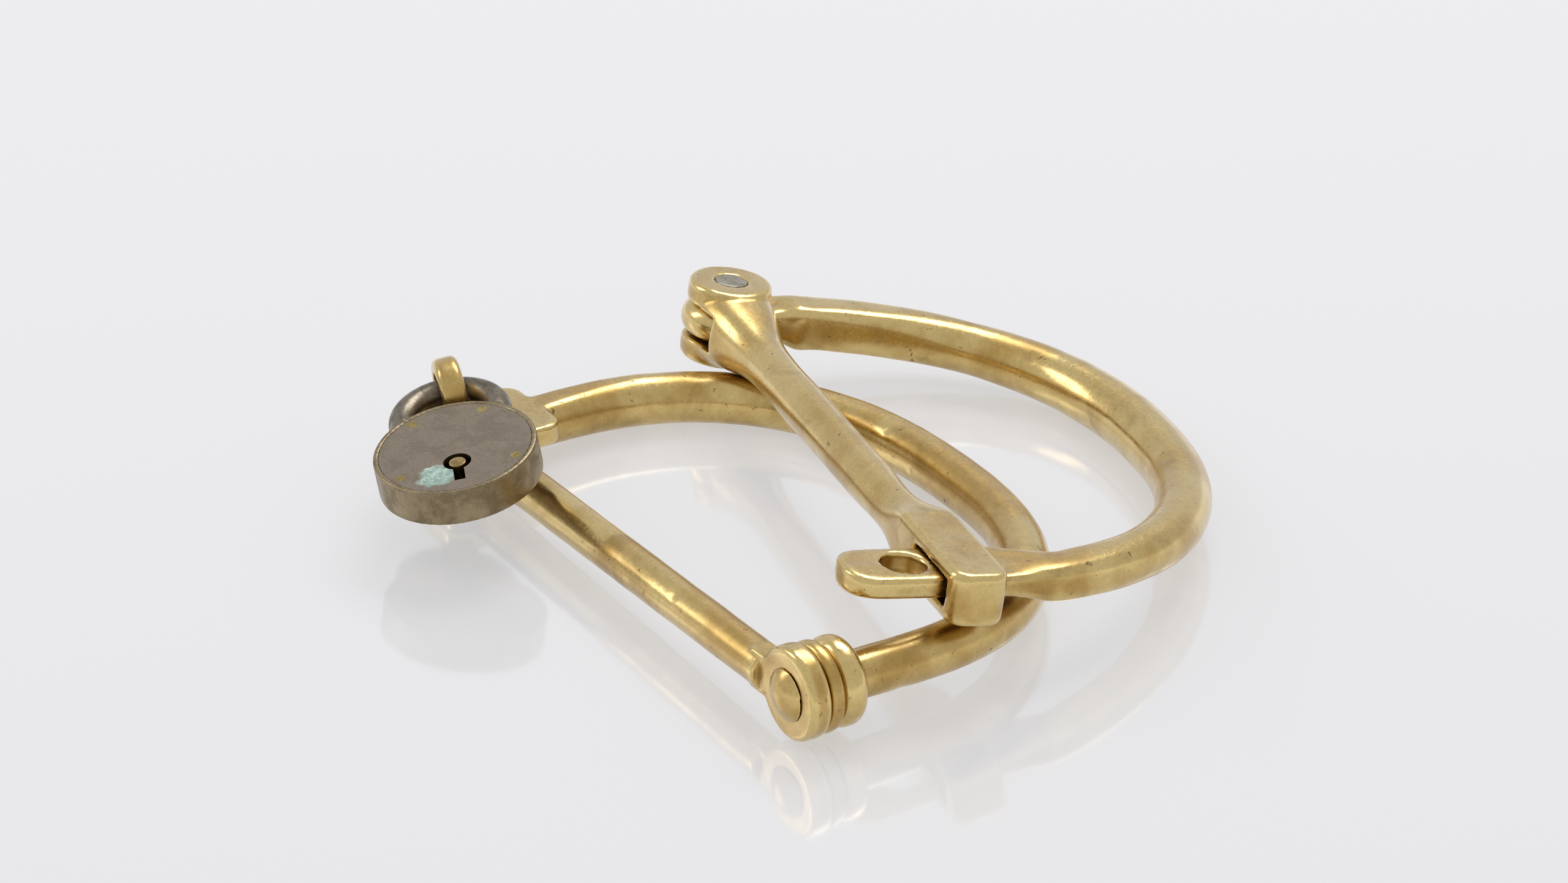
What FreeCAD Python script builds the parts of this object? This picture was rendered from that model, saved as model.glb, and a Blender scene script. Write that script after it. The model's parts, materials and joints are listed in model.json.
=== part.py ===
import FreeCAD, Part
import math
import os

# A pair of cast D-shaped shackles, each a straight bar and a bow, in millimetres.
# The closed shackle lies on the ground: its bow turns on its bar at a swivel stack and
# its end plate drops over an upright lug, where a round lever padlock holds it.
# The open shackle lies across it: its bow turns in a fork on a hinge pin, and its flat
# tab passes through a slotted block, ready for a padlock of its own.
# World frame: X along the closed bar towards its swivel, Y towards the bow, Z up.

V = FreeCAD.Vector

# ---- closed shackle: bar, bow and swivel ----
bar_half = 80.5             # from the middle of the bar to the swivel axis
bar_radius = 5.5
bow_depth = 94.4            # bar axis to the far side of the bow, on centre lines
bow_straight = 27.6         # straight length of each leg of the bow
bow_round = 2.31            # exponent of the bow's rounded outline at the lock end
bow_round_swivel = 2.46     # and at the swivel end
bow_radius = 6.8
bow_swivel_radius = 6.2     # where the bow meets its collar
bow_taper = 0.3             # share of the bow over which it thins to that
bow_flat = 5.4              # height of the flat filed on the bow's lock end
bow_flat_length = 44.0

eye_radius = 12.0           # flattened eye of the bar
eye_front = -3.5
eye_thickness = 6.0
ring_radius = 11.6          # loose ring of the swivel
ring_thickness = 3.9
collar_radius = 11.5        # collar on the end of the bow
collar_thickness = 7.2
swivel_gap = 0.12           # between the faces that turn on each other
rim_round = 1.5             # rounding of the rims of the stack
shank_radius = 3.5          # shank of the swivel rivet
shank_grip = 5.0            # how far the shank reaches into the bow
pin_fit = 0.06              # radial running fit of a pin in its hole
head_radius = 7.0
head_height = 3.1
shoulder_room = 0.9         # between the round bar and the stack beside its eye
neck_lap = 4.0              # how far the neck of the eye reaches back into the bar
neck_flare = 1.12           # thickness of the neck, against the bar

# ---- closed shackle: lock end ----
lap_gap = 0.15              # between the two halves of the lap
lap_thickness = 5.8         # each half of the lap
foot_back = 12.0            # foot plate, measured from the bow's centre line
foot_front = 14.0
foot_outer = 12.0
foot_inner = 7.5
foot_corner = 4.0
plate_margin = 0.6          # how far the bow's plate stands proud of the foot
lug_along = 2.9             # lug hole, from the bow's centre line towards the swivel
lug_out = 2.8               # foot of the lug, outwards from the bar's axis
lug_height = 16.3           # lug hole along the lug from the bar's axis
lug_twist = 19.0            # turn of the lug about the upright
lug_lean = 9.0              # lean of the lug outwards
lug_foot = 0.55             # start of the lug above the lap, clear of the foot plate as it leans
lug_wall = 3.2
lug_thickness = 6.6
lug_hole_room = 2.3         # round the padlock's shackle in the lug's hole
lug_edge = 1.8              # rounding of the lug's edges
tenon_width = 11.0
tenon_thickness = 4.6
tenon_fit = 0.04
slot_fit = 0.6              # room for the lug in the bow's plate

# ---- open shackle ----
fork_x = -83.5              # hinge pin, along the bar from its middle
tab_x = 74.6                # middle of the tab, along the bar
open_half = 81.0            # half the width of the bow, on its centre line
open_depth = 86.4
open_start = -12.7          # where the bow's outline would close
open_round = 2.235
open_bar_radius = 6.05
open_end_radius = 6.2       # bow near its ends
open_mid_radius = 7.7       # bow at its far side
open_neck_radius = 5.3      # half the bow's height where it thins towards the tab
open_thinning = 0.2         # share of the bow over which it thins
ear_radius = 11.0
ear_edge = 1.5
fork_height = 21.4
tongue_thickness = 9.2
tongue_radius = 11.8
tongue_edge = 4.2            # the tongue's rim is almost fully round
fork_fit = 0.2              # between the tongue and each ear
fork_root = 0.6             # room between the tongue's end and the root of the fork
fork_blend = 22.0           # length over which the fork runs into the bar
hinge_pin_radius = 4.35
hinge_pin_edge = 0.4
press_fit = 0.01            # radial room of a fixed pin in its hole
knuckle_length = 4.5        # over which the tongue thickens into the bow
block_start = 54.0
block_end = 92.0
block_inner = 8.5           # towards the bow
block_outer = 6.5
block_height = 14.0
block_blend = 12.0
block_edge = 1.8
skin = 0.06                 # how far the bar's end lies inside the block's faces
tab_width = 19.0
tab_thickness = 6.2
tab_reach = 29.4            # end of the tab, outwards from the bar's axis
tab_round = 2.6             # exponent of the tab's rounded end
tab_hole = 5.8
tab_hole_out = 13.0
tab_fit = 0.45              # room for the tab in the slot
tab_swing_room = 1.7        # extra slot length for the arc that the tab swings through
tab_neck = 11.0             # where the tab starts, inside the bow
tab_blend = 15.0            # length over which it runs into the bow
tab_square = 7.0            # exponent of the tab's section
tab_end_turns = (18, 36, 52, 65, 75, 82)    # sections round the tab's end, degrees
tab_shares = ((0.3, 4.41), (0.65, 5.705), (1.0, 7.0))   # share of the tab's blend, exponent of section
fork_shares = ((0.0, 3.4), (0.22, 2.9), (0.5, 2.4), (0.78, 2.1), (1.0, 2.0))     # of the fork's blend
block_shares = ((0.0, 2.0), (0.35, 2.6), (0.7, 4.5), (1.0, 9.0))                # of the block's blend
fork_fill = 0.97            # start of the fork's blend, against its ears
fork_lead = 2.0             # from the hinge pin to that start
block_lap = 1.0             # how far the blend runs into the block
block_corner = 0.62         # rounding of the block's end, against half its width
swell_power = 1.5           # how the bow swells towards its far side
knuckle_square = 3.0        # added exponent of the bow's section at its tongue
knuckle_share = 0.2         # share of the bow over which that fades
neck_square = 1.3           # and at its neck
neck_share = 0.12
tongue_shares = (0.1, 0.4, 0.7, 1.0)    # sections from the hinge to the tongue's end
tongue_square = 6.0
tongue_aside = 0.8          # middle of the tongue's end, from the hinge pin
tongue_spare = 0.6          # half width of that end, against the bow's
tongue_out = 1.2            # tongue's end, beyond the ears
outline_steps = 120         # along each outline that decides the open shackle's height

# ---- padlock ----
case_radius = 21.0
case_thickness = 9.7
band_wall = 1.4
band_edge = 0.35
plate_thickness = 1.2
plate_recess = 0.2          # lip of the band above each plate
plate_fit = 0.04
wire_radius = 3.7           # padlock shackle
wire_bend = 12.3            # radius of its bow, on the centre line
wire_rise = 21.7            # centre of its bow, from the middle of the case
wire_fit = 0.3
wire_step = 2.6             # the flats on the wire end this far below the middle of its bow
swing_steps = 9             # positions of the wire that its way through the case is cut from
wire_turn = 6.0             # how far round its bow the lug hole sits, degrees
heel_in = 2.7               # heel pin, inwards from the heel's centre line
heel_y = 14.6
heel_radius = 4.4
inner_fit = 0.2             # of sliding pieces between the plates
heel_pin_radius = 1.45
toe_end = 9.6
toe_inner = 10.4
toe_outer = 15.6
case_swing = 45.0           # how far the case turns on the heel
rivet_radius = 1.35
rivet_seats = [(8.5, 15.2), (14.7, -9.2), (-14.7, -9.2)]
post_y = -6.8               # key post
post_radius = 2.2
post_edge = 0.3
keyhole_radius = 3.6
key_slot_width = 2.8
key_slot_end = -15.3
ward_inner = 4.3
ward_outer = 5.1
ward_height = 1.9
bolt_left = -6.6
bolt_right = 10.0
bolt_low = 4.8
bolt_high = 9.2
bolt_prong_low = 10.4        # the prong that enters the toe's notch
bolt_prong_width = 2.2
bolt_head_left = 4.6
bolt_head_right = 7.0
bolt_thickness = 2.0
bolt_throw = 3.0
bolt_step = 1.2             # the bolt's body ends this far short of its prong
talon_radius = 1.6          # notch that the key turns in
notch_room = 0.3            # round the prong in the toe's notch
guide_radius = 0.8
guide_fit = 0.12
guide_proud = 0.05          # how far the guides stand above the bolt
guide_x = [-3.9, 2.6]
lever_pivot_x = -12.5
lever_pivot_y = 0.6
lever_pivot_radius = 1.1
lever_thickness = 1.05
lever_gap = 0.15
lever_width = 3.4
lever_tip = 6.5
lever_count = 3
lever_drop = 0.4            # lower edge of a lever's arm, below its pivot
lever_hub_radius = 2.108
lever_belly = 2.2           # radius of the belly that the key lifts
spring_thickness = 0.35
spring_rise = 9.0           # slope of a lever spring, degrees
spring_length = 13.0
spring_inset = 0.1          # how much narrower a spring is than its lever, each side

# ---- how the pieces lie ----
bar_height = 10.2           # middle of the closed bar
bar_place = (0.0, 0.0)
bar_slope = 1.70            # closed bar rises towards its swivel, degrees
bow_slope = -1.90           # closed bow falls away from its bar
open_place = (-0.6, 63.6)   # middle of the open bar
open_rest = -0.1            # the open bar's axis, from where the two round outlines would touch
open_turn = -11.4           # heading of the open bar
open_bar_slope = 2.35
open_bow_slope = -10.3
padlock_turn = 64.9         # heading across the padlock; its shackle points a quarter turn on
padlock_side_slope = 8.8    # rise across the padlock, towards its toe
padlock_slope = 3.4         # rise along the padlock, towards its shackle


def frame(place, height, turn, slope_x, slope_y):
    """A placement turned about Z, with its X and Y axes then raised by the two slopes."""
    ex = V(math.cos(math.radians(turn)), math.sin(math.radians(turn)), math.tan(math.radians(slope_x)))
    ey = V(-math.sin(math.radians(turn)), math.cos(math.radians(turn)), math.tan(math.radians(slope_y)))
    return FreeCAD.Placement(V(place[0], place[1], height), FreeCAD.Rotation(ex, ey, V(), "XYZ"))


closed_frame = frame(bar_place, bar_height, 0.0, bar_slope, bow_slope)


def box(x0, x1, y0, y1, z0, z1):
    return Part.makeBox(x1 - x0, y1 - y0, z1 - z0, V(x0, y0, z0))


def rounded(shape, radius, pick):
    """The shape with the edges that pick() accepts rounded."""
    edges = [e for e in shape.Edges if pick(e)]
    return shape.makeFillet(radius, edges) if edges else shape


def upright(edge):
    a, b = edge.Vertexes[0].Point, edge.Vertexes[-1].Point
    return len(edge.Vertexes) == 2 and abs(a.x - b.x) < 1e-6 and abs(a.y - b.y) < 1e-6


def circular(edge):
    return isinstance(edge.Curve, Part.Circle)


def rimmed_disc(radius, y0, thickness, x, rim):
    """A disc along Y with a rounded rim."""
    disc = Part.makeCylinder(radius, thickness, V(x, y0, 0), V(0, 1, 0))
    return rounded(disc, min(rim, thickness * 0.45), circular)


def oval(place, tangent, side, a, b, power):
    """A closed section |u/a|^power + |v/b|^power = 1, across the tangent, u along side."""
    count = 32
    turn = FreeCAD.Rotation(side, V(), tangent, "ZXY")
    points = []
    for i in range(count):
        t = 2 * math.pi * i / count
        c, s = math.cos(t), math.sin(t)
        u = a * math.copysign(abs(c) ** (2 / power), c)
        v = b * math.copysign(abs(s) ** (2 / power), s)
        points.append(place + turn.multVec(V(u, v, 0)))
    curve = Part.BSplineCurve()
    curve.interpolate(Points=points, PeriodicFlag=True)
    return Part.Wire([curve.toShape()])


def loft(wires):
    return Part.makeLoft(wires, True, False, False, 5)


def bow_line(half, start, depth, powers, first, last, straight):
    """Centre line of a bow in its plane, left leg to right leg, with an exponent for each side."""
    fine = []
    steps = 600
    base = max(start, straight)
    for i in range(steps + 1):
        t = math.pi * i / steps
        c, s = math.cos(t), math.sin(t)
        power = powers[0] if c > 0 else powers[1]
        x = -half * math.copysign(abs(c) ** (2 / power), c)
        y = base + (depth - base) * abs(s) ** (2 / power)
        fine.append(V(x, y, 0))
    if straight > 0:
        fine = [V(-half, first, 0)] + fine + [V(half, last, 0)]
    left = [p for p in fine if p.x > 0 or p.y >= first]
    return [p for p in left if p.x < 0 or p.y >= last]


def stations(line, count):
    """Evenly spaced points and tangents along a polyline, with the share of the way."""
    run = [0.0]
    for a, b in zip(line, line[1:]):
        run.append(run[-1] + a.distanceToPoint(b))
    out = []
    k = 0
    for i in range(count):
        target = run[-1] * i / (count - 1)
        while k < len(line) - 2 and run[k + 1] < target:
            k += 1
        share = (target - run[k]) / max(run[k + 1] - run[k], 1e-9)
        point = line[k] + (line[k + 1] - line[k]) * min(max(share, 0.0), 1.0)
        lo, hi = max(k - 1, 0), min(k + 2, len(line) - 1)
        out.append((point, (line[hi] - line[lo]).normalize(), i / (count - 1)))
    out[0] = (out[0][0], V(0, 1, 0), 0.0)
    out[-1] = (out[-1][0], V(0, -1, 0), 1.0)
    return out


def one(shape):
    """A compound of one solid as that solid."""
    return shape.Solids[0] if len(shape.Solids) == 1 else shape


def fused(first, *rest):
    shape = first
    for piece in rest:
        shape = shape.fuse(piece)
    return one(shape)


# ---- closed shackle ----
lug_hole = wire_radius + lug_hole_room
lug_radius = lug_hole + lug_wall
lock_x = -bar_half
ring_y = eye_front + eye_thickness + swivel_gap
collar_y = ring_y + ring_thickness
leg_y = collar_y + collar_thickness
lug_x = lock_x + lug_along
lug_turn = FreeCAD.Rotation(V(0, 0, 1), -lug_twist).multiply(FreeCAD.Rotation(V(1, 0, 0), lug_lean))
lug_seat = FreeCAD.Placement(V(lug_x, -lug_out, 0), lug_turn)
shoulder_x = bar_half - max(eye_radius, collar_radius, ring_radius) - shoulder_room

foot_left = lock_x - foot_back
foot_right = lock_x + foot_front
foot_low = -lap_gap / 2 - lap_thickness
foot = box(foot_left, foot_right, -foot_outer, foot_inner, foot_low, -lap_gap / 2)
foot = rounded(foot, foot_corner, upright)
foot_step = foot_right + plate_margin + lap_gap
bar = Part.makeCylinder(bar_radius, shoulder_x - foot_step, V(foot_step, 0, 0), V(1, 0, 0))
bar_tail = Part.makeCylinder(bar_radius, foot_step - lock_x, V(lock_x, 0, 0), V(1, 0, 0))
bar_tail = bar_tail.cut(box(lock_x - 1, foot_step, -bar_radius - 1, bar_radius + 1,
                            -lap_gap / 2, bar_radius + 1))
eye = rimmed_disc(eye_radius, eye_front, eye_thickness, bar_half, rim_round)
neck_x = shoulder_x - neck_lap
neck = box(neck_x, bar_half, eye_front, eye_front + eye_thickness, -bar_radius, bar_radius)
neck = neck.common(Part.makeCylinder(bar_radius * neck_flare, bar_half - neck_x, V(neck_x, 0, 0), V(1, 0, 0)))
lower_bar = fused(bar, bar_tail, foot, neck, eye)
eye_hole = Part.makeCylinder(shank_radius + pin_fit, eye_thickness + 2,
                             V(bar_half, eye_front - 1, 0), V(0, 1, 0))
tenon_hole = box(-tenon_width / 2 - tenon_fit, tenon_width / 2 + tenon_fit,
                 -tenon_thickness / 2 - tenon_fit, tenon_thickness / 2 + tenon_fit, foot_low - 2, 2)
tenon_hole.Placement = lug_seat
lower_bar = one(lower_bar.cut(eye_hole).cut(tenon_hole))

lug_plate = box(-lug_radius, lug_radius, -lug_thickness / 2, lug_thickness / 2, lug_foot, lug_height)
lug_top = Part.makeCylinder(lug_radius, lug_thickness, V(0, -lug_thickness / 2, lug_height), V(0, 1, 0))
lug = fused(lug_plate, lug_top)
lug = rounded(lug, lug_edge, lambda e: e.BoundBox.ZMax > lug_height + 1 and e.Length > lug_radius)
lug_bore = Part.makeCylinder(lug_hole, lug_thickness + 2,
                             V(0, -lug_thickness / 2 - 1, lug_height), V(0, 1, 0))
lug = lug.cut(lug_bore)
tenon = box(-tenon_width / 2, tenon_width / 2, -tenon_thickness / 2, tenon_thickness / 2,
            foot_low + lug_foot, lug_foot)
lock_lug = fused(lug, tenon)
lock_lug.Placement = lug_seat

bow_powers = (bow_round, bow_round_swivel)
line = bow_line(bar_half, 0.0, bow_depth, bow_powers, foot_inner + 0.8, leg_y - 1.0, bow_straight)
tube_sections = []
for p, t, s in stations(line, 41):
    size = bow_radius + (bow_swivel_radius - bow_radius) * max(0.0, 1 - (1 - s) / bow_taper)
    tube_sections.append(oval(p, t, V(0, 0, 1), size, size, 2.0))
tube = loft(tube_sections)
flat = box(lock_x - 2 * bow_radius, lock_x + 2 * bow_radius, 0, bow_flat_length, 0, 3 * bow_radius)
flat.Placement = FreeCAD.Placement(
    V(0, foot_inner, bow_flat),
    FreeCAD.Rotation(V(1, 0, 0), math.degrees(math.atan((bow_radius - bow_flat) / bow_flat_length))))
end_plate = box(foot_left - plate_margin, foot_right + plate_margin, -foot_outer - plate_margin,
                foot_inner + 2 * bow_radius, lap_gap / 2, lap_gap / 2 + lap_thickness)
end_plate = rounded(end_plate, foot_corner + plate_margin, upright)
collar = rimmed_disc(collar_radius, collar_y, collar_thickness, bar_half, 2 * rim_round)
lug_slot = box(-lug_radius - slot_fit, lug_radius + slot_fit, -lug_thickness / 2 - slot_fit,
               lug_thickness / 2 + slot_fit, -1, 2 * lap_thickness)
lug_slot.Placement = lug_seat
shank_seat = Part.makeCylinder(shank_radius + press_fit, collar_thickness + shank_grip,
                               V(bar_half, collar_y - 1, 0), V(0, 1, 0))
lower_bow = fused(tube.cut(flat), end_plate, collar)
lower_bow = one(lower_bow.cut(lug_slot).cut(shank_seat))

swivel_ring = rimmed_disc(ring_radius, ring_y, ring_thickness, bar_half, rim_round)
swivel_ring = swivel_ring.cut(Part.makeCylinder(shank_radius + press_fit, ring_thickness + 2,
                                                V(bar_half, ring_y - 1, 0), V(0, 1, 0)))
head_y = eye_front - swivel_gap
dome_radius = (head_radius ** 2 + head_height ** 2) / (2 * head_height)
dome = Part.makeSphere(dome_radius, V(bar_half, head_y - head_height + dome_radius, 0))
head_block = Part.makeCylinder(head_radius, head_height, V(bar_half, head_y - head_height, 0), V(0, 1, 0))
shank_end = collar_y - 1 + collar_thickness + shank_grip - pin_fit
shank = Part.makeCylinder(shank_radius, shank_end - head_y, V(bar_half, head_y, 0), V(0, 1, 0))
swivel_rivet = fused(dome.common(head_block), shank)

# ---- open shackle ----
ear = Part.makeCylinder(ear_radius, fork_height, V(fork_x, 0, -fork_height / 2))
ear = rounded(ear, ear_edge, circular)
half_height = fork_height / 2
root_x = fork_x + tongue_radius + fork_root
blend_end = root_x + fork_blend
block_middle = (block_inner - block_outer) / 2
block_half = (block_inner + block_outer) / 2 - skin
bar_sections = []
for share, power in fork_shares:
    ease = (1 - math.cos(math.pi * share)) / 2
    size_y = ear_radius * fork_fill + (open_bar_radius - ear_radius * fork_fill) * ease
    size_z = half_height * fork_fill + (open_bar_radius - half_height * fork_fill) * ease
    x = fork_x + fork_lead + (blend_end - fork_x - fork_lead) * share
    bar_sections.append(oval(V(x, 0, 0), V(1, 0, 0), V(0, 0, 1), size_z, size_y, power))
straight_end = block_start - block_blend
for i in range(1, 5):
    x = blend_end + (straight_end - blend_end) * i / 5
    bar_sections.append(oval(V(x, 0, 0), V(1, 0, 0), V(0, 0, 1), open_bar_radius, open_bar_radius, 2.0))
for share, power in block_shares:
    ease = (1 - math.cos(math.pi * share)) / 2
    size_y = open_bar_radius + (block_half - open_bar_radius) * ease
    size_z = open_bar_radius + (block_height / 2 - skin - open_bar_radius) * ease
    place = V(straight_end + (block_blend + block_lap) * share, block_middle * ease, 0)
    bar_sections.append(oval(place, V(1, 0, 0), V(0, 0, 1), size_z, size_y, power))
block = box(block_start, block_end, -block_outer, block_inner, -block_height / 2, block_height / 2)
block = rounded(block, block_half * block_corner, lambda e: upright(e) and e.BoundBox.XMin > block_end - 1)
block = rounded(block, block_edge, lambda e: e.BoundBox.XMax > block_start + 1 and not upright(e))
slot_left = tab_x - tab_width / 2 - tab_fit
slot_right = tab_x + tab_width / 2 + tab_fit + tab_swing_room
slot_half = tab_thickness / 2 + tab_fit
tab_slot = box(slot_left, slot_right, -3 * block_outer, 3 * block_inner, -slot_half, slot_half)
fork_slot = box(fork_x - 2 * ear_radius, root_x, -2 * ear_radius, 2 * ear_radius,
                -tongue_thickness / 2 - fork_fit, tongue_thickness / 2 + fork_fit)
fork_hole = Part.makeCylinder(hinge_pin_radius + press_fit, fork_height + 2, V(fork_x, 0, -half_height - 1))
upper_bar = fused(loft(bar_sections), ear, block)
upper_bar = one(upper_bar.cut(tab_slot).cut(fork_slot).cut(fork_hole))
hinge_pin = Part.makeCylinder(hinge_pin_radius, fork_height, V(fork_x, 0, -half_height))
hinge_pin = rounded(hinge_pin, hinge_pin_edge, circular)

tongue_end = ear_radius + tongue_out
tongue = Part.makeCylinder(tongue_radius, tongue_thickness, V(fork_x, 0, -tongue_thickness / 2))
tongue = rounded(tongue, tongue_edge, circular)
leg_start = tab_neck + tab_blend
open_powers = (open_round, open_round)
line = bow_line(open_half, open_start, open_depth, open_powers, tongue_end + knuckle_length, leg_start, 0.0)
tongue_half = tongue_thickness / 2 - skin
sections = [oval(V(fork_x + tongue_aside, tongue_end * share, 0), V(0, 1, 0), V(0, 0, 1), tongue_half,
                 open_end_radius + tongue_spare, tongue_square) for share in tongue_shares]
swell = open_mid_radius - open_end_radius
for p, t, s in stations(line, 39):
    size = open_end_radius + swell * math.sin(math.pi * s) ** swell_power
    square = 2.0 + knuckle_square * max(0.0, 1 - s / knuckle_share)
    square += neck_square * max(0.0, 1 - (1 - s) / neck_share)
    thin = (open_neck_radius - open_end_radius) * max(0.0, 1 - (1 - s) / open_thinning)
    sections.append(oval(p, t, V(0, 0, 1), size + thin, size, square))
last = line[-1]
tab_half = tab_width / 2
tab_top = tab_thickness / 2
for share, power in tab_shares:
    ease = (1 - math.cos(math.pi * share)) / 2
    x = last.x + (tab_x - last.x) * ease
    sections.append(oval(V(x, last.y - tab_blend * share, 0), V(0, -1, 0), V(0, 0, 1),
                         open_neck_radius + (tab_top - open_neck_radius) * ease - skin,
                         open_end_radius + (tab_half - open_end_radius) * ease - skin, power))
tab_round_y = tab_half - tab_reach
for i in range(1, 7):
    y = tab_neck + (tab_round_y - tab_neck) * i / 6
    sections.append(oval(V(tab_x, y, 0), V(0, -1, 0), V(0, 0, 1), tab_top - skin, tab_half - skin, tab_square))
for turn in tab_end_turns:
    reach = tab_half * math.sin(math.radians(turn)) ** (2 / tab_round)
    width = tab_half * math.cos(math.radians(turn)) ** (2 / tab_round)
    sections.append(oval(V(tab_x, tab_round_y - reach, 0), V(0, -1, 0), V(0, 0, 1),
                         tab_top - skin, width - skin, tab_square))
upper_bow = fused(loft(sections), tongue)
tongue_hole = Part.makeCylinder(hinge_pin_radius + pin_fit, fork_height, V(fork_x, 0, -half_height))
tab_bore = Part.makeCylinder(tab_hole, 4 * tab_thickness, V(tab_x, -tab_hole_out, -2 * tab_thickness))
upper_bow = one(upper_bow.cut(tongue_hole).cut(tab_bore))

# ---- the open shackle lies on the closed bow: its height follows from both outlines ----
lying_frame = frame(open_place, 0.0, open_turn, open_bar_slope, open_bow_slope)
closed_line = bow_line(bar_half, 0.0, bow_depth, bow_powers, foot_inner, leg_y, bow_straight)
closed_balls = [(closed_frame.multVec(p), bow_radius) for p in closed_line[::5]]
open_balls = [(lying_frame.multVec(p), open_end_radius + swell * math.sin(math.pi * s))
              for p, t, s in stations(line, outline_steps)]
for i in range(outline_steps + 1):
    x = fork_x + (block_end - fork_x) * i / outline_steps
    near_fork = max(0.0, (blend_end - x) / (blend_end - fork_x))
    thick = open_bar_radius + (half_height - open_bar_radius) * near_fork
    thick = block_height / 2 if x > block_start else thick
    open_balls.append((lying_frame.multVec(V(x, 0, 0)), thick))
touching = 0.0
for low, low_radius in closed_balls:
    for high, high_radius in open_balls:
        apart = math.hypot(low.x - high.x, low.y - high.y)
        if apart < low_radius + high_radius:
            rise = math.sqrt((low_radius + high_radius) ** 2 - apart ** 2)
            touching = max(touching, low.z - high.z + rise)
open_frame = frame(open_place, touching + open_rest, open_turn, open_bar_slope, open_bow_slope)

# ---- padlock ----
half_case = case_thickness / 2
inside = half_case - plate_recess - plate_thickness
plate_radius = case_radius - band_wall - plate_fit
heel_x = -wire_bend + heel_in


def wire(fit):
    """The padlock's shackle, grown by fit all round."""
    r = wire_radius + fit
    flat_half = inside - inner_fit + fit / 2
    bend = Part.makeTorus(wire_bend, r, V(0, wire_rise, 0), V(0, 0, 1), 0, 360, 360)
    bend = bend.common(box(-2 * case_radius, 2 * case_radius, wire_rise, 3 * case_radius, -r - 1, r + 1))
    heel = Part.makeCylinder(r, wire_rise - heel_y, V(-wire_bend, heel_y, 0), V(0, 1, 0))
    flats = box(-case_radius, case_radius, 0, wire_rise - wire_step, -flat_half, flat_half)
    outside = box(-case_radius, case_radius, wire_rise - wire_step, wire_rise + 1, -2 * r, 2 * r)
    heel = heel.common(flats.fuse(outside))
    hub = Part.makeCylinder(heel_radius + fit, 2 * flat_half, V(heel_x, heel_y, -flat_half))
    toe = Part.makeCylinder(r, wire_rise - toe_end + fit, V(wire_bend, toe_end - fit, 0), V(0, 1, 0))
    toe_flats = box(toe_inner - fit, toe_outer + fit, toe_end - fit, wire_rise - wire_step, -flat_half, flat_half)
    toe = toe.common(toe_flats.fuse(outside))
    return fused(bend, heel, hub, toe)


heel_axis = V(heel_x, heel_y, 0)


def swing_cut(shape):
    """The shape cleared of the padlock's shackle all through its swing."""
    for i in range(swing_steps + 1):
        cutter = wire(wire_fit)
        cutter.rotate(heel_axis, V(0, 0, 1), case_swing * i / swing_steps)
        shape = shape.cut(cutter)
    return one(shape)


bolt_low_z = -inside + inner_fit
bolt_head_high = bolt_prong_low + bolt_prong_width
padlock_shackle = wire(0.0)
toe_notch = box(toe_inner - 1, bolt_right + bolt_throw + notch_room, bolt_prong_low - notch_room,
                bolt_head_high + notch_room, -case_thickness, case_thickness)
heel_hole = Part.makeCylinder(heel_pin_radius + pin_fit, case_thickness, V(heel_x, heel_y, -half_case))
padlock_shackle = one(padlock_shackle.cut(toe_notch).cut(heel_hole))

band = Part.makeCylinder(case_radius, case_thickness, V(0, 0, -half_case))
band = rounded(band, band_edge, circular)
band = band.cut(Part.makeCylinder(case_radius - band_wall, case_thickness + 2, V(0, 0, -half_case - 1)))
padlock_band = swing_cut(band)

keyhole = Part.makeCylinder(keyhole_radius, case_thickness, V(0, post_y, 0))
key_slot = box(-key_slot_width / 2, key_slot_width / 2, key_slot_end, post_y, 0, case_thickness)
pins = [Part.makeCylinder(rivet_radius + press_fit, case_thickness + 2, V(x, y, -half_case - 1))
        for x, y in rivet_seats]
pins.append(Part.makeCylinder(heel_pin_radius + press_fit, case_thickness + 2,
                              V(heel_x, heel_y, -half_case - 1)))
front = Part.makeCylinder(plate_radius, plate_thickness, V(0, 0, inside))
back = Part.makeCylinder(plate_radius, plate_thickness, V(0, 0, -inside - plate_thickness))
for pin in pins:
    front = front.cut(pin)
    back = back.cut(pin)
padlock_front_plate = swing_cut(front.cut(keyhole).cut(key_slot))
padlock_back_plate = swing_cut(back)

plate_outer = inside + plate_thickness
heel_pin = Part.makeCylinder(heel_pin_radius, 2 * plate_outer, V(heel_x, heel_y, -plate_outer))
padlock_rivets = Part.makeCompound([
    Part.makeCylinder(rivet_radius, 2 * plate_outer, V(x, y, -plate_outer)) for x, y in rivet_seats])
key_post = Part.makeCylinder(post_radius, inside + plate_outer, V(0, post_y, -inside))
key_post = rounded(key_post, post_edge, lambda e: circular(e) and e.BoundBox.ZMin > 0)
ward_ring = Part.makeCylinder(ward_outer, ward_height, V(0, post_y, -inside))
ward_ring = ward_ring.cut(Part.makeCylinder(ward_inner, ward_height, V(0, post_y, -inside)))

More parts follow.
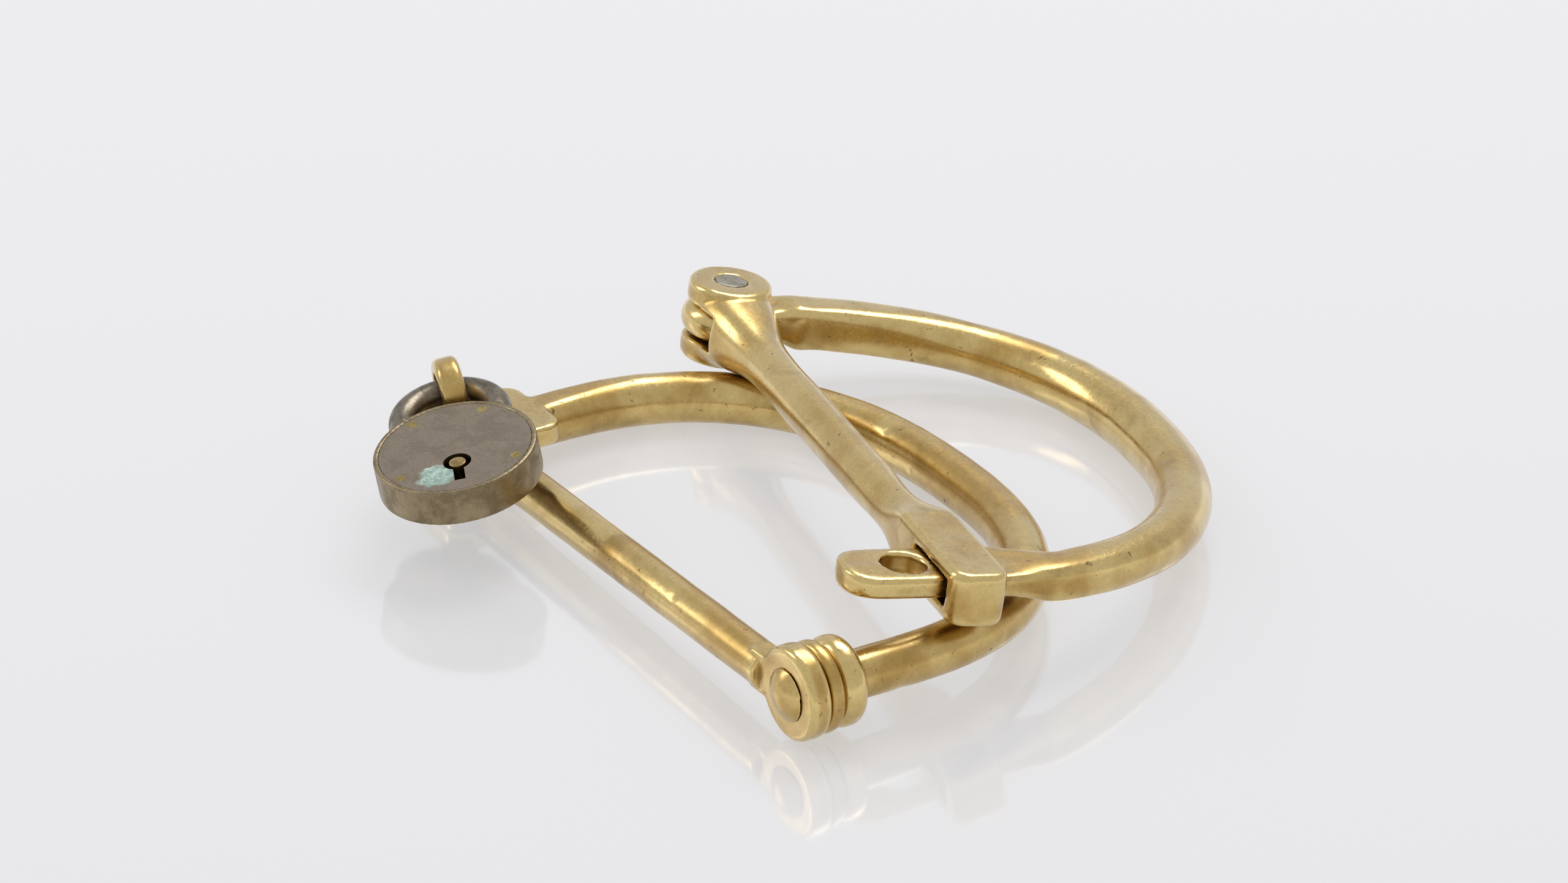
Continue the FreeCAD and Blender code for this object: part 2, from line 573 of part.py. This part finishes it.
bolt_top_z = bolt_low_z + bolt_thickness
bolt = fused(box(bolt_left, bolt_right - bolt_step, bolt_low, bolt_high, bolt_low_z, bolt_top_z),
             box(bolt_head_left, bolt_head_right, bolt_high - 1, bolt_head_high, bolt_low_z, bolt_top_z),
             box(bolt_head_left, bolt_right, bolt_prong_low, bolt_head_high, bolt_low_z, bolt_top_z))
talon = Part.makeCylinder(talon_radius, bolt_thickness, V(0, bolt_low, bolt_low_z))
guide_y = (bolt_low + bolt_high) / 2
guide_room = guide_radius + guide_fit
guide_height = inner_fit + bolt_thickness + guide_proud
for x in guide_x:
    for end in (0.0, -bolt_throw):
        bolt = bolt.cut(Part.makeCylinder(guide_room, bolt_thickness, V(x + end, guide_y, bolt_low_z)))
    bolt = bolt.cut(box(x - bolt_throw, x, guide_y - guide_room, guide_y + guide_room, bolt_low_z, bolt_top_z))
padlock_bolt = one(bolt.cut(talon))
bolt_guides = Part.makeCompound([
    Part.makeCylinder(guide_radius, guide_height, V(x, guide_y, -inside)) for x in guide_x])

lever_low = bolt_top_z + lever_gap
arm_low = lever_pivot_y - lever_drop
lever_pivot = Part.makeCylinder(lever_pivot_radius, 2 * inside, V(lever_pivot_x, lever_pivot_y, -inside))
levers = []
springs = []
for i in range(lever_count):
    z = lever_low + i * (lever_thickness + lever_gap)
    hub = Part.makeCylinder(lever_hub_radius, lever_thickness, V(lever_pivot_x, lever_pivot_y, z))
    arm = box(lever_pivot_x, lever_tip, arm_low, arm_low + lever_width, z, z + lever_thickness)
    belly = Part.makeCylinder(lever_belly, lever_thickness, V(post_radius, arm_low + 1, z))
    lever = fused(hub, arm, belly)
    bore = Part.makeCylinder(lever_pivot_radius + pin_fit, lever_thickness,
                             V(lever_pivot_x, lever_pivot_y, z))
    levers.append(one(lever.cut(bore)))
    leaf = box(0, spring_length, 0, spring_thickness, z + spring_inset, z + lever_thickness - spring_inset)
    leaf.Placement = FreeCAD.Placement(V(lever_pivot_x + lever_width, arm_low + lever_width, 0),
                                       FreeCAD.Rotation(V(0, 0, 1), spring_rise))
    springs.append(leaf)

# ---- the padlock hangs in the lug: its shackle passes through the middle of the hole ----
hole_place = closed_frame.multVec(lug_seat.multVec(V(0, 0, lug_height)))
wire_at = math.radians(wire_turn)
grip = V(wire_bend * math.sin(wire_at), wire_rise + wire_bend * math.cos(wire_at), 0)
padlock_frame = frame((0.0, 0.0), 0.0, padlock_turn, padlock_side_slope, padlock_slope)
padlock_frame.Base = hole_place - padlock_frame.multVec(grip)

closed_parts = {
    "lower_bar": lower_bar, "lock_lug": lock_lug, "lower_bow": lower_bow,
    "swivel_ring": swivel_ring, "swivel_rivet": swivel_rivet}
open_parts = {"upper_bar": upper_bar, "upper_bow": upper_bow, "hinge_pin": hinge_pin}
padlock_parts = {
    "padlock_shackle": padlock_shackle, "padlock_band": padlock_band,
    "padlock_front_plate": padlock_front_plate, "padlock_back_plate": padlock_back_plate,
    "padlock_heel_pin": heel_pin, "padlock_rivets": padlock_rivets, "padlock_key_post": key_post,
    "padlock_ward_ring": ward_ring, "padlock_bolt": padlock_bolt, "padlock_bolt_guides": bolt_guides,
    "padlock_lever_pivot": lever_pivot}
for i in range(lever_count):
    padlock_parts["padlock_lever_%d" % (i + 1)] = levers[i]
    padlock_parts["padlock_lever_spring_%d" % (i + 1)] = springs[i]

placed = {}
for parts, place in ((closed_parts, closed_frame), (open_parts, open_frame), (padlock_parts, padlock_frame)):
    for name, shape in parts.items():
        shape = shape.copy()
        shape.Placement = place.multiply(shape.Placement)
        placed[name] = shape

# The origin is on the ground, below the middle of the whole.
bounds = FreeCAD.BoundBox()
for shape in placed.values():
    bounds.add(shape.optimalBoundingBox())
origin = V(bounds.Center.x, bounds.Center.y, bounds.ZMin)

os.makedirs("parts", exist_ok=True)
for name, shape in placed.items():
    shape.translate(-origin)
    shape.exportStep("parts/%s.step" % name)
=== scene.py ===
import json
import math
import bmesh
import bpy
import numpy as np
from mathutils import Matrix, Vector

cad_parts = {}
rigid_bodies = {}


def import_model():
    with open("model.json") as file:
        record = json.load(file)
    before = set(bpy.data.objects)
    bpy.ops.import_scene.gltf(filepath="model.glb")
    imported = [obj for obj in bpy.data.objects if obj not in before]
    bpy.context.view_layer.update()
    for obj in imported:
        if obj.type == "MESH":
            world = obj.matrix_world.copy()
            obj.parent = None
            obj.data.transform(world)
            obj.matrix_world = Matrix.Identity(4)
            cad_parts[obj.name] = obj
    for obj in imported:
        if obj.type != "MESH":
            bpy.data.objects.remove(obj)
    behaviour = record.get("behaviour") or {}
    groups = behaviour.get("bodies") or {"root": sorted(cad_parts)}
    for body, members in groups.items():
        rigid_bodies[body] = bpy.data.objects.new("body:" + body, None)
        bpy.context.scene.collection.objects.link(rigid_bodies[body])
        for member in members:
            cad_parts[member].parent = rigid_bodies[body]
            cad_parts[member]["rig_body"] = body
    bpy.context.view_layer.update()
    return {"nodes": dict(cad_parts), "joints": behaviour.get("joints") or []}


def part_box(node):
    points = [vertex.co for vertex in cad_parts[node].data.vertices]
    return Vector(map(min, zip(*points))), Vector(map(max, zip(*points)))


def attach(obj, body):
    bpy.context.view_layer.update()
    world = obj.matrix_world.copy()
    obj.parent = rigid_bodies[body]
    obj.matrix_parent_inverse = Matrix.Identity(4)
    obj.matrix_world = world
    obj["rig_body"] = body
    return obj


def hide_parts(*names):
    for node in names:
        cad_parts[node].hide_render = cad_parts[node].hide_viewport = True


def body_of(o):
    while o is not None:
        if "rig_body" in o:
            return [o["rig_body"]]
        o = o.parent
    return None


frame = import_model()

MM = 0.001
NOISE, RANGE, MATH, MIX = "ShaderNodeTexNoise", "ShaderNodeMapRange", "ShaderNodeMath", "ShaderNodeMix"
SMOOTH = {"interpolation_type": "SMOOTHSTEP"}       # a range mapped smoothly and clamped
BLEND = {"data_type": "RGBA", "out": 2}             # a mix of two colours

# verdigris on the padlock's front plate, beside the key post
POST_STANDS_MM = 4.2        # top of the post, from its middle
SPOT_ACROSS_MM = 5.6
SPOT_ALONG_MM = 4.6
SPOT_REACH_MM = 4.6
RAGGED_MM = 6.0             # how far noise moves the spot's edge

# wear of the cast and filed pieces
MERGE = 1e-6                # vertices nearer than this are one
WAVES = 12                  # sine waves in the slow unevenness
WAVE_MM = 14.0
DENT_WIDE_MM = 1.0
DENT_DEEP_MM = 0.22
PROUD_ROUNDS = 60           # easing of the surface that "proud" is measured from


# ---- small tools ----
def colour(code):
    """An sRGB hex colour as linear red, green, blue and alpha."""
    parts = [int(code[i:i + 2], 16) / 255 for i in (1, 3, 5)]
    return tuple(c / 12.92 if c <= 0.04045 else ((c + 0.055) / 1.055) ** 2.4 for c in parts) + (1.0,)


def add(tree, kind, links=None, out=0, **settings):
    """One output of a new node. links gives an input, by name or number, a value or another node's output."""
    node = tree.nodes.new(kind)
    for name, value in settings.items():
        setattr(node, name, value)
    for name, value in (links or {}).items():
        if isinstance(value, bpy.types.NodeSocket):
            tree.links.new(value, node.inputs[name])
        else:
            node.inputs[name].default_value = value
    return node.outputs[out]


def per(mm):
    """The noise scale whose features are about this many millimetres across."""
    return 1.0 / (mm * MM)


def new_material(name):
    """An empty material, its node tree, its surface shader and its object coordinates."""
    material = bpy.data.materials.new(name)
    material.use_nodes = True
    tree = material.node_tree
    return material, tree, tree.nodes["Principled BSDF"], add(tree, "ShaderNodeTexCoord", out="Object")


def surface(tree, shader, tone, fine, rough, height, strength):
    """A metal's surface: its tone times a fine brightness, its roughness and its relief in millimetres."""
    grey = add(tree, "ShaderNodeCombineColor", {0: fine, 1: fine, 2: fine})
    tone = add(tree, MIX, {0: 1.0, 6: tone, 7: grey}, blend_type="MULTIPLY", **BLEND)
    bump = add(tree, "ShaderNodeBump", {"Strength": strength, "Distance": MM, "Height": height})
    shader.inputs["Metallic"].default_value = 1.0
    for name, value in (("Base Color", tone), ("Roughness", rough), ("Normal", bump)):
        tree.links.new(value, shader.inputs[name])


def cast_brass(name, bright, middle, dull, stain):
    """Old cast brass, handled smooth: polished gold where hands rub it, an olive-brown film between,
    small casting pits, fine scratches and darker stains."""
    material, tree, shader, place = new_material(name)
    proud = add(tree, "ShaderNodeAttribute", out="Fac", attribute_name="proud")
    field = {}
    for layer, mm, detail, rough, skew in (
            ("broad", 38.0, 2.0, 0.5, 0.2), ("patches", 9.0, 3.0, 0.55, 0.3), ("grain", 0.9, 4.0, 0.7, 0.0),
            ("deep", 17.0, 4.0, 0.6, 0.6), ("spots", 2.2, 3.0, 0.6, 0.5), ("pits", 1.3, 2.0, 0.5, 0.0),
            ("waves", 9.0, 2.0, 0.4, 0.0)):
        field[layer] = add(tree, NOISE, {"Vector": place, "Scale": per(mm), "Detail": detail,
                                         "Roughness": rough, "Distortion": skew})
    grain = field["grain"]
    # the film, rubbed off where the surface stands out and whole where it lies deep
    film = add(tree, MATH, {0: field["broad"], 1: 0.6}, operation="MULTIPLY")
    film = add(tree, MATH, {0: field["patches"], 1: 0.4, 2: film}, operation="MULTIPLY_ADD")
    film = add(tree, RANGE, {0: film, 1: 0.38, 2: 0.64}, **SMOOTH)
    rubbed = add(tree, RANGE, {0: proud, 1: 0.16, 2: 0.42, 3: 0.0, 4: 0.8}, **SMOOTH)
    sunk = add(tree, RANGE, {0: proud, 1: 0.0, 2: -0.22}, **SMOOTH)
    film = add(tree, MATH, {0: film, 1: rubbed}, operation="SUBTRACT")
    film = add(tree, MATH, {0: film, 1: sunk}, use_clamp=True)
    # dull patches and hollows, then small dark stains
    deep = add(tree, RANGE, {0: field["deep"], 1: 0.52, 2: 0.74, 3: 0.0, 4: 0.45}, **SMOOTH)
    hollow = add(tree, RANGE, {0: proud, 1: -0.10, 2: -0.40, 3: 0.0, 4: 0.8}, **SMOOTH)
    deep = add(tree, MATH, {0: deep, 1: hollow}, operation="MAXIMUM")
    spots = add(tree, RANGE, {0: field["spots"], 1: 0.655, 2: 0.74, 3: 0.0, 4: 0.8}, **SMOOTH)
    tone = add(tree, MIX, {0: film, 6: colour(bright), 7: colour(middle)}, **BLEND)
    tone = add(tree, MIX, {0: deep, 6: tone, 7: colour(dull)}, **BLEND)
    tone = add(tree, MIX, {0: spots, 6: tone, 7: colour(stain)}, **BLEND)
    fine = add(tree, RANGE, {0: grain, 1: 0.35, 2: 0.75, 3: 0.92, 4: 1.06}, **SMOOTH)
    rough = add(tree, RANGE, {0: film, 3: 0.20, 4: 0.33}, **SMOOTH)
    tooth = add(tree, RANGE, {0: grain, 1: 0.3, 2: 0.8, 3: -0.03, 4: 0.08}, **SMOOTH)
    rough = add(tree, MATH, {0: rough, 1: tooth})
    rough = add(tree, MATH, {0: spots, 1: 0.15, 2: rough}, operation="MULTIPLY_ADD")
    # scratches: noise drawn out along one direction
    drawn = add(tree, "ShaderNodeMapping", {"Vector": place, "Rotation": (0.3, 0.2, 0.9),
                                            "Scale": (0.08, 1.0, 1.0)})
    scratch = add(tree, NOISE, {"Vector": drawn, "Scale": per(0.5), "Detail": 2.0, "Roughness": 0.5})
    scratch = add(tree, RANGE, {0: scratch, 1: 0.60, 2: 0.68}, **SMOOTH)
    pits = add(tree, RANGE, {0: field["pits"], 1: 0.70, 2: 0.78}, **SMOOTH)
    pits = add(tree, MATH, {0: pits, 1: spots})
    height = add(tree, MATH, {0: field["waves"], 1: 0.22}, operation="MULTIPLY")
    for layer, share in ((grain, 0.012), (scratch, -0.012), (pits, -0.04)):
        height = add(tree, MATH, {0: layer, 1: share, 2: height}, operation="MULTIPLY_ADD")
    surface(tree, shader, tone, fine, rough, height, 0.6)
    shader.inputs["Coat Weight"].default_value = 0.7
    shader.inputs["Coat Roughness"].default_value = 0.24
    return material


def plain_metal(name, light, dark, rough, mm=3.0):
    """A worked metal with a thin uneven oxide: two tones, fine grain and small pits."""
    material, tree, shader, place = new_material(name)
    patches = add(tree, NOISE, {"Vector": place, "Scale": per(mm), "Detail": 4.0, "Roughness": 0.65,
                                "Distortion": 0.4})
    grain = add(tree, NOISE, {"Vector": place, "Scale": per(0.5), "Detail": 3.0, "Roughness": 0.7})
    share = add(tree, RANGE, {0: patches, 1: 0.40, 2: 0.62}, **SMOOTH)
    tone = add(tree, MIX, {0: share, 6: colour(light), 7: colour(dark)}, **BLEND)
    fine = add(tree, RANGE, {0: grain, 1: 0.3, 2: 0.8, 3: 0.86, 4: 1.1}, **SMOOTH)
    broad = add(tree, RANGE, {0: patches, 1: 0.3, 2: 0.7, 3: rough - 0.06, 4: rough + 0.1}, **SMOOTH)
    tooth = add(tree, RANGE, {0: grain, 1: 0.3, 2: 0.8, 3: -0.04, 4: 0.06}, **SMOOTH)
    height = add(tree, MATH, {0: grain, 1: 0.03}, operation="MULTIPLY")
    height = add(tree, MATH, {0: patches, 1: 0.06, 2: height}, operation="MULTIPLY_ADD")
    surface(tree, shader, tone, fine, add(tree, MATH, {0: broad, 1: tooth}), height, 0.5)
    return material


def verdigris(material, spot):
    """Pale green copper salts round a spot: rough and chalky, with a ragged edge."""
    tree = material.node_tree
    shader = tree.nodes["Principled BSDF"]
    place = add(tree, "ShaderNodeTexCoord", out="Object")
    ragged = add(tree, NOISE, {"Vector": place, "Scale": per(3.2), "Detail": 5.0, "Roughness": 0.65}, "Color")
    shift = add(tree, "ShaderNodeVectorMath", {0: ragged, 1: (0.5,) * 3}, operation="SUBTRACT")
    shift = add(tree, "ShaderNodeVectorMath", {0: shift, 1: (RAGGED_MM * MM,) * 3}, operation="MULTIPLY")
    moved = add(tree, "ShaderNodeVectorMath", {0: place, 1: shift})
    away = add(tree, "ShaderNodeVectorMath", {0: moved, 1: tuple(spot)}, "Value", operation="DISTANCE")
    reach = SPOT_REACH_MM * MM
    salt = add(tree, RANGE, {0: away, 1: reach * 1.15, 2: reach * 0.8}, **SMOOTH)
    pale = add(tree, NOISE, {"Vector": place, "Scale": per(1.6), "Detail": 4.0, "Roughness": 0.7})
    pale = add(tree, RANGE, {0: pale, 1: 0.40, 2: 0.68}, **SMOOTH)
    green = add(tree, MIX, {0: pale, 6: colour("#869f92"), 7: colour("#b9cdc2")}, **BLEND)
    base = shader.inputs["Base Color"].links[0].from_socket
    rough = shader.inputs["Roughness"].links[0].from_socket
    base = add(tree, MIX, {0: salt, 6: base, 7: green}, **BLEND)
    rough = add(tree, MATH, {0: salt, 1: 0.4, 2: rough}, operation="MULTIPLY_ADD")
    metal = add(tree, MATH, {0: 1.0, 1: salt}, operation="SUBTRACT")
    for name, value in (("Base Color", base), ("Metallic", metal), ("Roughness", rough)):
        tree.links.new(value, shader.inputs[name])


# ---- materials of the pieces ----
brass = cast_brass("old_cast_brass", "#d8bd7a", "#b6934a", "#886829", "#5c4020")
iron = plain_metal("grey_wrought_iron", "#aba698", "#8b8475", 0.40, 2.0)
wire_bronze = plain_metal("dark_bronze_wire", "#8a8072", "#6a6151", 0.33, 5.0)
plate_bronze = plain_metal("dark_bronze_plate", "#988b7a", "#867a6b", 0.36, 8.0)
band_brass = plain_metal("browned_brass_band", "#9c8c6f", "#84755a", 0.36, 7.0)
rivet_brass = plain_metal("yellow_brass_rivet", "#b7a064", "#91804f", 0.35)
post_brass = plain_metal("worn_brass_post", "#b39a66", "#8d7448", 0.30)
steel = plain_metal("spring_steel", "#a6a6a2", "#77776f", 0.3)


def axis(name):
    """A joint's axis."""
    return Vector(next(j for j in frame["joints"] if j["name"] == name)["axis"]).normalized()


across = axis("bolt_slide")
facing = -axis("padlock_heel")
along = facing.cross(across)
low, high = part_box("padlock_key_post")
post_top = (low + high) / 2 + facing * (POST_STANDS_MM * MM)
verdigris(plate_bronze, post_top - across * (SPOT_ACROSS_MM * MM) - along * (SPOT_ALONG_MM * MM))

finish = {
    "swivel_ring": brass, "swivel_rivet": brass, "hinge_pin": iron, "padlock_front_plate": plate_bronze,
    "padlock_back_plate": plate_bronze, "padlock_rivets": rivet_brass, "padlock_heel_pin": rivet_brass,
    "padlock_key_post": post_brass}
for name, node in frame["nodes"].items():
    node.data.materials.clear()
    node.data.materials.append(finish.get(name, steel if "spring" in name else rivet_brass))


# ---- worn pieces ----
def eased(points, first, second, rounds):
    """Points drawn halfway to the mean of their neighbours, again and again, over the edges first-second."""
    count = len(points)
    share = np.bincount(first, minlength=count) + np.bincount(second, minlength=count)
    share = np.maximum(share, 1)[:, None]
    for _ in range(rounds):
        total = np.stack([np.bincount(first, points[second, k], count)
                          + np.bincount(second, points[first, k], count) for k in range(3)], 1)
        points = points + 0.5 * (total / share - points)
    return points


def uneven(points, seed, lift_mm):
    """A height for each point: the mean of slow sine waves in random directions."""
    random = np.random.default_rng(seed)
    ways = random.normal(size=(WAVES, 3))
    ways /= np.linalg.norm(ways, axis=1)[:, None]
    lengths = WAVE_MM * MM * random.uniform(0.6, 1.8, WAVES)
    ways *= (2 * np.pi / lengths)[:, None]
    return lift_mm * MM * np.sin(points @ ways.T + random.uniform(0, 2 * np.pi, WAVES)).mean(1)


def dented(points, seed, count):
    """A depth for each point: round dents, each a bell curve about a random point of the surface."""
    random = np.random.default_rng(seed)
    depth = np.zeros(len(points))
    for middle in points[random.integers(0, len(points), count)]:
        wide = DENT_WIDE_MM * MM * random.uniform(0.5, 1.5)
        deep = DENT_DEEP_MM * MM * random.uniform(0.3, 1.0)
        depth += deep * np.exp(-((points - middle) ** 2).sum(1) / (2 * wide ** 2))
    return depth


def read(items, name, width, kind=np.float64):
    """A value of each item of a mesh, as rows of this width."""
    values = np.empty(len(items) * width, kind)
    items.foreach_get(name, values)
    return values.reshape(-1, width)


def even_skin(mesh, skin_mm):
    """A mesh covered with an even skin of small faces, its split vertices merged first."""
    work = bmesh.new()
    work.from_mesh(mesh)
    bmesh.ops.remove_doubles(work, verts=work.verts, dist=MERGE)
    work.to_mesh(mesh)
    work.free()
    piece = bpy.data.objects.new("rough", mesh)
    bpy.context.scene.collection.objects.link(piece)
    skin = piece.modifiers.new("skin", "REMESH")
    skin.mode, skin.voxel_size = "VOXEL", skin_mm * MM
    bpy.context.view_layer.update()
    even = bpy.data.meshes.new_from_object(piece.evaluated_get(bpy.context.evaluated_depsgraph_get()))
    bpy.data.objects.remove(piece)
    return even


def worn(node, material, slot, skin_mm, rounds, lift_mm, dents, seed):
    """A cast or filed piece as long handling leaves it. A copy of its node gets an even skin, eased until
    no edge is sharp, and each point then moves along its normal by a slow unevenness less its dents.
    The attribute "proud" keeps how far the surface stands out from its surroundings, in millimetres."""
    source = frame["nodes"][node]
    even = even_skin(source.data.copy(), skin_mm)
    first, second = read(even.edges, "vertices", 2, np.int64).T
    points = eased(read(even.vertices, "co", 3), first, second, rounds)
    even.vertices.foreach_set("co", points.ravel())
    even.update()
    normals = read(even.vertices, "normal", 3)
    around = eased(points, first, second, PROUD_ROUNDS)
    proud = ((points - around) * normals).sum(1) / MM
    lift = uneven(points, seed, lift_mm) - dented(points, seed, dents)
    even.vertices.foreach_set("co", (points + normals * lift[:, None]).ravel())
    even.attributes.new("proud", "FLOAT", "POINT").data.foreach_set("value", proud.astype(np.float32))
    even.polygons.foreach_set("use_smooth", np.ones(len(even.polygons), bool))
    even.materials.clear()
    even.materials.append(material)
    even.update()
    piece = bpy.data.objects.new(node + "_worn", even)
    bpy.context.scene.collection.objects.link(piece)
    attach(piece, body_of(source)[0])
    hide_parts(node)


# node, material, slot, size of the skin's faces, rounds of easing, unevenness, dents, seed
for row in (
        ("upper_bow", brass, "worn_brass", 0.5, 10, 0.16, 24, 3),
        ("upper_bar", brass, "worn_brass", 0.42, 10, 0.10, 16, 5),
        ("lower_bow", brass, "worn_brass", 0.5, 8, 0.16, 24, 7),
        ("lower_bar", brass, "worn_brass", 0.42, 5, 0.10, 12, 11),
        ("lock_lug", brass, "worn_brass", 0.25, 6, 0.06, 4, 13),
        ("swivel_ring", brass, "worn_brass", 0.25, 5, 0.05, 4, 17),
        ("swivel_rivet", brass, "worn_brass", 0.25, 5, 0.05, 2, 19),
        ("hinge_pin", iron, "grey_iron", 0.22, 3, 0.08, 5, 23),
        ("padlock_shackle", wire_bronze, "grey_iron", 0.3, 6, 0.08, 8, 29),
        ("padlock_band", band_brass, "dark_bronze", 0.28, 3, 0.05, 6, 31)):
    worn(*row)


# ---- floor, light and camera ----
def stage_floor():
    """A wide flat sheet of white acrylic under the object."""
    half = 6.0
    corners = [(-half, -half, 0), (half, -half, 0), (half, half, 0), (-half, half, 0)]
    mesh = bpy.data.meshes.new("floor")
    mesh.from_pydata(corners, [], [(0, 1, 2, 3)])
    floor = bpy.data.objects.new("floor", mesh)
    bpy.context.scene.collection.objects.link(floor)
    material = bpy.data.materials.new("white_acrylic_sheet")
    material.use_nodes = True
    shader = material.node_tree.nodes["Principled BSDF"]
    for name, value in (("Base Color", colour("#8e8d90")), ("Roughness", 0.09), ("IOR", 1.9),
                        ("Emission Color", colour("#ffffff")), ("Emission Strength", 0.47)):
        shader.inputs[name].default_value = value
    mesh.materials.append(material)


def softbox(name, place, aim, size, power):
    """A soft rectangular light at place, turned to aim."""
    data = bpy.data.lights.new(name, "AREA")
    data.shape, data.size, data.size_y, data.energy = "RECTANGLE", size[0], size[1], power
    lamp = bpy.data.objects.new(name, data)
    lamp.location = place
    lamp.rotation_euler = (Vector(aim) - Vector(place)).to_track_quat("-Z", "Y").to_euler()
    lamp.visible_camera = False
    bpy.context.scene.collection.objects.link(lamp)


stage_floor()
softbox("top_light", (-0.5, 0.7, 1.3), (0, 0, 0), (0.9, 0.7), 9.0)
softbox("left_light", (-0.9, -0.9, 0.8), (0, 0, 0), (0.4, 0.8), 3.5)
world = bpy.data.worlds.new("studio")
bpy.context.scene.world = world
world.use_nodes = True
world.node_tree.nodes["Background"].inputs["Color"].default_value = colour("#f4f5f8")
world.node_tree.nodes["Background"].inputs["Strength"].default_value = 0.78

lens = bpy.data.cameras.new("camera")
lens.lens, lens.sensor_width, lens.clip_end = 152.0, 36.0, 20.0
camera = bpy.data.objects.new("camera", lens)
seat = Vector((1.23892, -0.77794, 0.82263))
aim = Vector((-0.04567, 0.0177, 0.00135))
roll = math.radians(-0.752)
turn = (aim - seat).to_track_quat("-Z", "Y").to_matrix() @ Matrix.Rotation(roll, 3, "Z")
camera.matrix_world = Matrix.Translation(seat) @ turn.to_4x4()
bpy.context.scene.collection.objects.link(camera)
bpy.context.scene.camera = camera
bpy.context.scene.view_settings.view_transform = "Standard"
